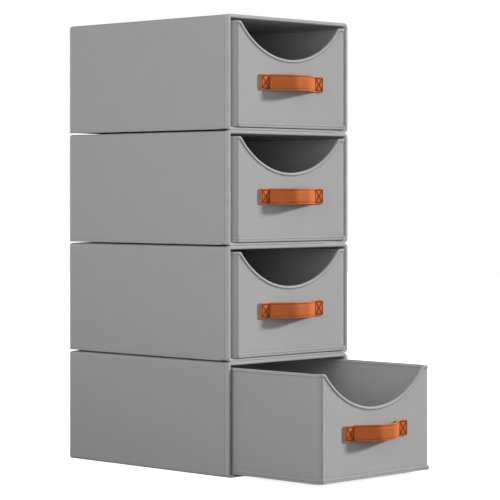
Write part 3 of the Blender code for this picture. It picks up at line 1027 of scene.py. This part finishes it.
# The strap's middle line from above, with close steps at its rounded ends
def strapLine(size):
    half, tabY = size["half"], size["tabY"]
    rise = [(half, tabY), (half - strap["tab"], tabY), (strap["grip"] / 2, size["gripY"])]
    corners = [(-x, y) for x, y in rise] + list(reversed(rise))
    bends = [strap["rootBend"], strap["gripBend"], strap["gripBend"], strap["rootBend"]]
    line = filledLine(bentLine(corners, bends, strap["bendSteps"]), strap["step"])
    turns = evenly(0, math.pi / 2, strap["endSteps"])[1:-1]
    ends = [strap["endRound"] * (1 - math.cos(turn)) for turn in turns]
    line = line[:1] + [Vector((end - half, tabY)) for end in ends] + line[2:-2]
    return line + [Vector((half - end, tabY)) for end in reversed(ends)] + [Vector((half, tabY))]


# Section as (height, thickness) pairs, with the stitch grooves on the outer face, and its cut edges' numbers
def strapSection(size):
    width, thick, sewIn, bend = size["width"], size["thick"], size["sewIn"], strap["edgeRound"]
    side, crown, nick = strap["grooveHalf"], strap["crown"], bevel * bend
    face = [(width - bend, thick), (sewIn + side, thick), (sewIn, thick - strap["groove"])]
    face += [(sewIn - side, thick), (sewIn / 2, thick + 0.6 * crown), (0, thick + crown)]
    face += [(-height, out) for height, out in reversed(face[:-1])]
    lower = [(nick - width, thick - nick), (-width, thick - bend)]
    lower += [(-width, bend - thick), (nick - width, nick - thick)]
    inner = [(bend - width, -thick), (0, -thick), (width - bend, -thick)]
    upper = [(-height, -out) for height, out in lower]
    section = face + lower + inner + upper
    lowerCut = range(len(face) - 1, len(face) + len(lower))
    upperCut = range(len(section) - len(upper) - 1, len(section))
    return section, {*lowerCut, *upperCut}


def strapBody(size, line, outward):
    section, cut = strapSection(size)
    bend, rings = strap["endRound"], []
    for place, out in zip(line, outward):
        fromEnd = size["half"] - abs(place.x)
        narrow = bend - math.sqrt(bend**2 - max(0.0, bend - fromEnd) ** 2)
        thin = 1 - strap["endThin"] * (1 - smooth(fromEnd / strap["thinRun"]))
        ring = []
        for height, offset in section:
            spot = place + out * offset * thin
            z = size["middleZ"] + height * (1 - narrow / size["width"])
            ring.append((spot.x + strap["aside"], spot.y, z))
        rings.append(ring)
    points, faces = loft(rings, around=False)
    slots = [int(number % len(section) in cut) for number in range(len(faces) - 2)]
    return points, faces, slots + [1, 1]


# Edge seams along the bowed part, then a box and a cross on each tab
def sewStrap(size, line, outward, sewn):
    sewIn, middleZ, aside = size["sewIn"], size["middleZ"], strap["aside"]
    sunk = size["thick"] - strap["groove"] * strap["threadSunk"]
    for side in (-1, 1):
        run = []
        for place, out in zip(line, outward):
            if abs(place.x) <= size["half"] - strap["tab"]:
                spot = Vector((place.x + aside, place.y)) + out * sunk
                run.append((Vector((spot.x, spot.y, middleZ + side * sewIn)), out.to_3d()))
        sewAlong(sewn, run, strapSeam)
    faceY, front = size["tabY"] - size["thick"] - strap["boxProud"], Vector((0, -1, 0))
    far, near = [size["half"] - inset for inset in strap["boxes"]]
    box = [(far, -sewIn), (near, -sewIn), (near, sewIn), (far, sewIn)]
    strokes = list(zip(box, box[1:] + box[:1])) + [(box[0], box[2]), (box[3], box[1])]
    for side in (-1, 1):
        for stroke in strokes:
            ends = [(Vector((side * x + aside, faceY, middleZ + z)), front) for x, z in stroke]
            sewAlong(sewn, ends, tabSeam)


def strapHandle(unit, sewn):
    size = strapSizes(unit)
    line = strapLine(size)
    outward = []
    for before, after in zip(line[:1] + line, line[1:] + line[-1:]):
        along = (after - before).normalized()
        outward.append(Vector((along.y, -along.x)))
    sewStrap(size, line, outward, sewn)
    return strapBody(size, line, outward)


def buildDrawer(unit):
    size, sewn, strapSewn = traySizes(unit), ([], []), ([], [])
    columns, body = trayColumns(size), f"unit_{unit}_drawer"

    def add(kind, part, materials, slot, node=None):
        settle(makePiece(f"{body}_{kind}", [part], materials), body, node)

    add("tray", trayBody(unit, size, columns, sewn), [coverGrey], "grey_cloth", "cover")
    add("rim_tape", rimTape(size, columns, sewn), [tapeGrey], "binding_tape", "rim_binding")
    add("base_insert", trayBase(unit), [coverGrey], "grey_cloth", "base_board")
    add("strap", strapHandle(unit, strapSewn), [leatherFace, leatherEdge], "tan_leather", "handle")
    add("stitching", sewn, [threadGrey], "binding_tape")
    add("strap_stitching", strapSewn, [threadBrown], "tan_leather")


for unit in range(1, unitCount + 1):
    buildSleeve(unit)
    buildDrawer(unit)
    print("unit", unit, "sewn")

# The other boards stay as packed, inside their pockets
for name, node in frame["nodes"].items():
    if name.endswith("_board") and not name.endswith(("_base_board", "_top_board")):
        node.data.materials.clear()
        node.data.materials.append(boardBrown)


# Stage: pale floor, soft light and a white surround
stage = dict(
    floorSide=14.0, floorDrop=0.2 * mm,
    floorGrey=0.2,  # as the object is lit by it
    floorWhite=0.95,  # as it is seen
    floorGlow=0.85,
)
lamps = {
    "sun": dict(
        kind="SUN", aim=(0, 0, 0), towards=(2.05, -1.0, 0.66), distance=3,
        settings=dict(energy=4.6, angle=math.radians(6.5)),
    ),
    "left wall": dict(
        kind="AREA", aim=(-0.15, 0, 1.08), towards=(-1, 0, 0), distance=0.3,
        settings=dict(energy=4.3, shape="RECTANGLE", size=2.8, size_y=2),
    ),
    "left": dict(
        kind="AREA", aim=(0, 0, 0.42), towards=(-1.0, -0.2, 0.3), distance=3,
        settings=dict(energy=26, shape="RECTANGLE", size=1.5, size_y=1.5),
    ),
    "camera side": dict(
        kind="AREA", aim=(0, 0, 0.42), towards=(-0.7, -0.7, 0.1), distance=3,
        settings=dict(energy=17, shape="RECTANGLE", size=1.5, size_y=1.5),
    ),
}
surround = dict(light=0.36, white=1.0)


# Backdrops look white, while another shader decides how much they light the object
def backdrop(tree, lighting, seen):
    path = addNode(tree, "LightPath").outputs
    share = path["Is Camera Ray"]
    for kind in ("Is Glossy Ray", "Is Transmission Ray"):
        share = addNode(tree, "Math", {0: share, 1: path[kind]}, operation="MAXIMUM").outputs["Value"]
    return addNode(tree, "MixShader", {0: share, 1: lighting, 2: seen}).outputs["Shader"]


def makeFloor():
    material = bpy.data.materials.new("pale floor")
    tree = emptyTree(material)
    hidden = addNode(tree, "BsdfDiffuse", {"Color": [stage["floorGrey"]] * 3 + [1]})
    white = addNode(tree, "BsdfDiffuse", {"Color": [stage["floorWhite"]] * 3 + [1]})
    glow = addNode(tree, "Emission", {"Strength": stage["floorGlow"]})
    lit = addNode(tree, "AddShader", {0: white.outputs["BSDF"], 1: glow.outputs["Emission"]})
    mixed = backdrop(tree, hidden.outputs["BSDF"], lit.outputs["Shader"])
    addNode(tree, "OutputMaterial", {"Surface": mixed})
    side = stage["floorSide"] / 2
    corners = [(-side, -side, 0), (side, -side, 0), (side, side, 0), (-side, side, 0)]
    mesh = bpy.data.meshes.new("floor")
    mesh.from_pydata(corners, [], [(0, 1, 2, 3)])
    mesh.materials.append(material)
    floor = addObject("floor", mesh)
    floor.location.z = cadLow.z - stage["floorDrop"]


def makeLamp(name, look):
    data = bpy.data.lights.new(name, look["kind"])
    for setting, value in look["settings"].items():
        setattr(data, setting, value)
    towards = Vector(look["towards"]).normalized()
    lamp = addObject(name, data)
    lamp.location = Vector(look["aim"]) + towards * look["distance"]
    lamp.rotation_euler = towards.to_track_quat("Z", "Y").to_euler()
    lamp.visible_camera = False


def makeSurround():
    world = bpy.data.worlds.new("surround")
    bpy.context.scene.world = world
    tree = emptyTree(world)
    ambient = addNode(tree, "Background", {"Strength": surround["light"]})
    white = addNode(tree, "Background", {"Color": (1, 1, 1, 1), "Strength": surround["white"]})
    mixed = backdrop(tree, ambient.outputs["Background"], white.outputs["Background"])
    addNode(tree, "OutputWorld", {"Surface": mixed})


makeFloor()
makeSurround()
for name, look in lamps.items():
    makeLamp(name, look)
bpy.context.scene.view_settings.view_transform = "Standard"
print("floor, lamps and surround set")
